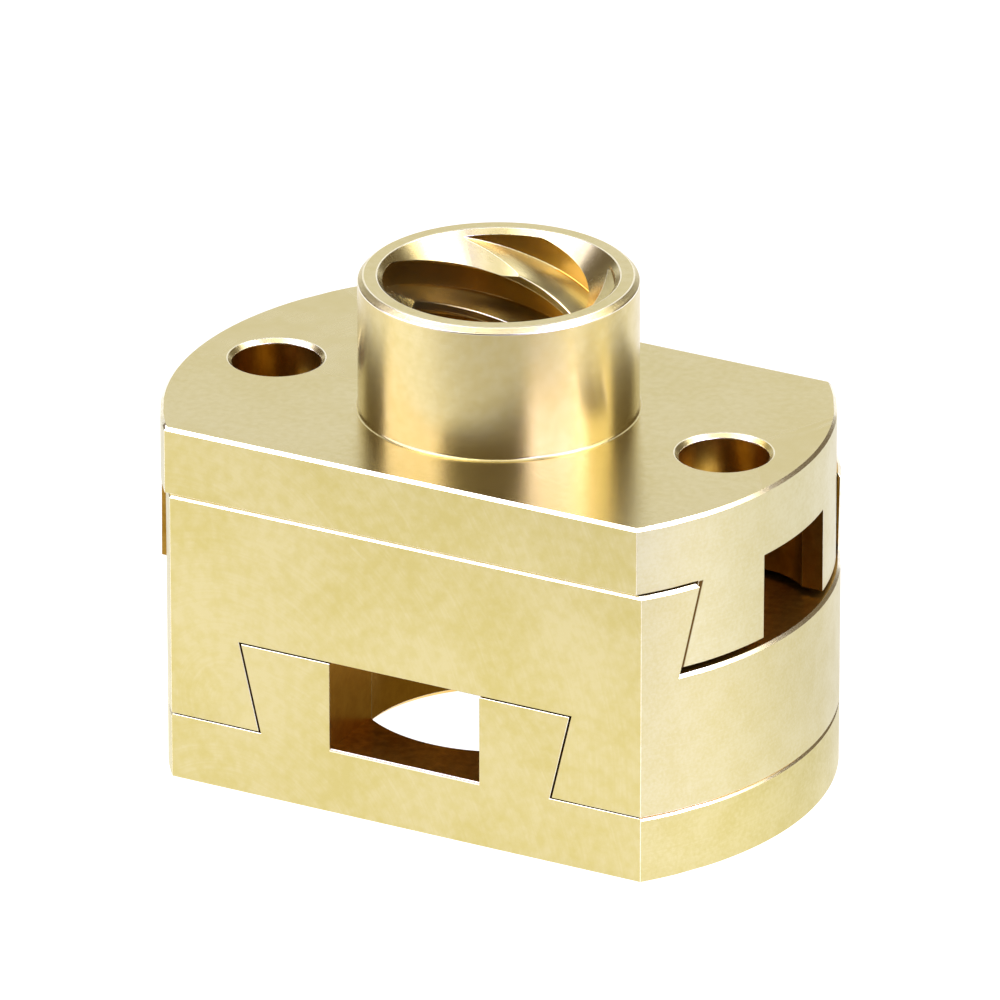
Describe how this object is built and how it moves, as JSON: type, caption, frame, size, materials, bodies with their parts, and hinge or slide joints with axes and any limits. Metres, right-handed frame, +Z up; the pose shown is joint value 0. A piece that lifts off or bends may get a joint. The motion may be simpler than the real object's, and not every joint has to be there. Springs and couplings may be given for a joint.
{
  "type": "oldham coupling",
  "caption": "Compact oldham coupling for a lead-screw carriage: threaded nut flange, cross slider and base flange joined by crossed dovetails",
  "frame": {"origin": "centre of the lower flange's bottom face, on the axis of its clearance bore", "axes": "+Z up the lead screw towards the threaded boss, +X through the two screw holes, +Y square to the milled flats"},
  "size_m": [0.0242, 0.0148, 0.0185],
  "materials": {
    "brass": "satin machined, bright at the edges"
  },
  "bodies": {
    "lower_flange": {"lower_flange": "brass"},
    "cross_slider": {"cross_slider": "brass"},
    "nut_flange": {"nut_flange": "brass"}
  },
  "joints": [
    {"name": "slider_slide", "type": "slide", "parent": "lower_flange", "child": "cross_slider", "axis": [0, 1, 0], "range_m": [-0.00125, 0.00125]},
    {"name": "nut_slide", "type": "slide", "parent": "cross_slider", "child": "nut_flange", "axis": [1, 0, 0], "range_m": [-0.00105, 0.00145]}
  ]
}
